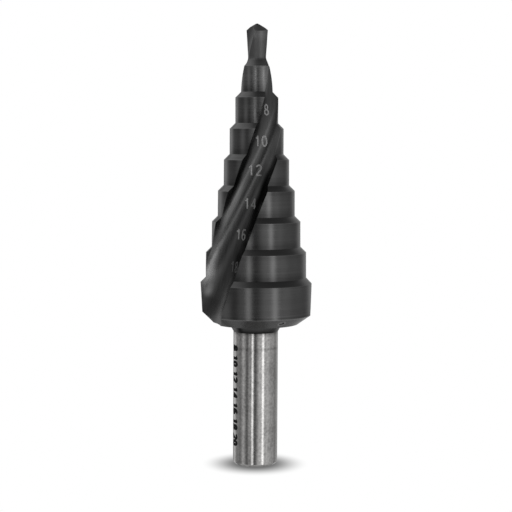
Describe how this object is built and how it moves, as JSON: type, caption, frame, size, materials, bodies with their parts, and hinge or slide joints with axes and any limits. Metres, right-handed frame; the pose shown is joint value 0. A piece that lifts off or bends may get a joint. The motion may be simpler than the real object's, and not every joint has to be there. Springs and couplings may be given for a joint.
{
  "type": "step drill",
  "caption": "Step drill with a dark coated conical head of stepped cutting diameters, helical flutes, a pointed pilot and a bright round shank.",
  "frame": {"origin": "centre of the shank's flat end, on the drill's axis", "axes": "+Z along the drill's axis, from the shank's end towards the point; -Y is the side that faces the viewer in the picture"},
  "size_m": [0.0198, 0.0196, 0.0786],
  "materials": {
    "coated_steel": "dark grey hard coating over fine ground lines",
    "bright_steel": "bright ground steel",
    "size_marks": "pale laser marks"
  },
  "bodies": {
    "root": {"step_drill": "coated_steel"}
  },
  "joints": []
}
